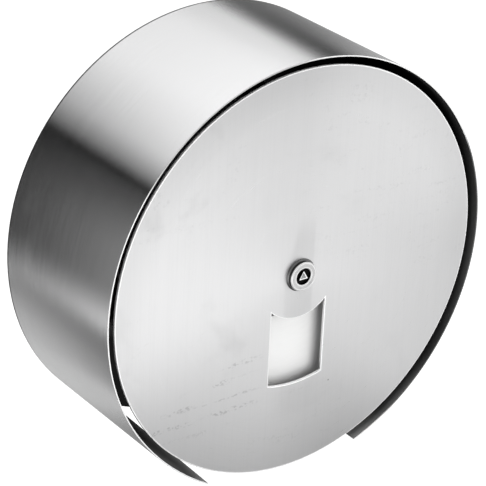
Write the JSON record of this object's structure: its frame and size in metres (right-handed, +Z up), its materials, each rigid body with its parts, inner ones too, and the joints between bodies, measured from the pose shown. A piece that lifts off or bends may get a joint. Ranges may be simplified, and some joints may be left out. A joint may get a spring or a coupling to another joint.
{
  "type": "jumbo toilet roll dispenser",
  "caption": "Wall-mounted round steel dispenser for a jumbo toilet roll, with a lift-off front cover, a level window and a central key lock.",
  "frame": {"origin": "centre of the back plate's wall face", "axes": "+Z up, +Y into the wall along the drum's axis, so the front faces -Y; +X to the right as seen from the front"},
  "size_m": [0.3, 0.1225, 0.3],
  "materials": {
    "brushed_band": "satin",
    "brushed_cover": "satin",
    "brushed_sheet": "satin",
    "plain_steel": "satin",
    "zinc_steel": "satin",
    "spring_steel": "satin",
    "lock_nickel": "satin",
    "lock_dark": "satin",
    "lock_core_metal": "satin",
    "hub_plastic": "matte",
    "bearing_plastic": "matte",
    "core_board": "matte",
    "tissue": "matte"
  },
  "bodies": {
    "casing": {"back_plate": "brushed_sheet", "casing_band": "brushed_band", "spindle_flange": "plain_steel", "flange_studs": "zinc_steel", "flange_washers": "zinc_steel", "flange_nuts": "zinc_steel", "spindle_tube": "plain_steel", "keeper_disc": "plain_steel", "retaining_ring": "spring_steel", "rear_thrust_washer": "bearing_plastic", "front_thrust_washer": "bearing_plastic"},
    "roll": {"roll_hub": "hub_plastic", "rear_bush": "bearing_plastic", "front_bush": "bearing_plastic", "roll_core": "core_board", "paper_roll": "tissue"},
    "cover": {"front_cover": "brushed_cover", "lock_plate": "spring_steel", "cover_socket": "plain_steel", "locating_pins": "plain_steel", "lock_rosette": "lock_dark", "lock_body": "lock_nickel", "lock_washer": "zinc_steel", "lock_nut": "zinc_steel"},
    "lock_barrel": {"lock_core": "lock_core_metal", "cam_washer": "spring_steel", "lock_cam": "zinc_steel", "cam_screw": "zinc_steel"}
  },
  "joints": [
    {"name": "roll_spin", "type": "hinge", "parent": "casing", "child": "roll", "pos_m": [0, -0.06, 0], "axis": [0, 1, 0], "continuous": true},
    {"name": "cover_pull", "type": "slide", "parent": "casing", "child": "cover", "axis": [0, -1, 0], "range_m": [0, 0.12]},
    {"name": "lock_turn", "type": "hinge", "parent": "cover", "child": "lock_barrel", "pos_m": [0, -0.11, 0], "axis": [0, 1, 0], "range_deg": [0, 90]}
  ]
}
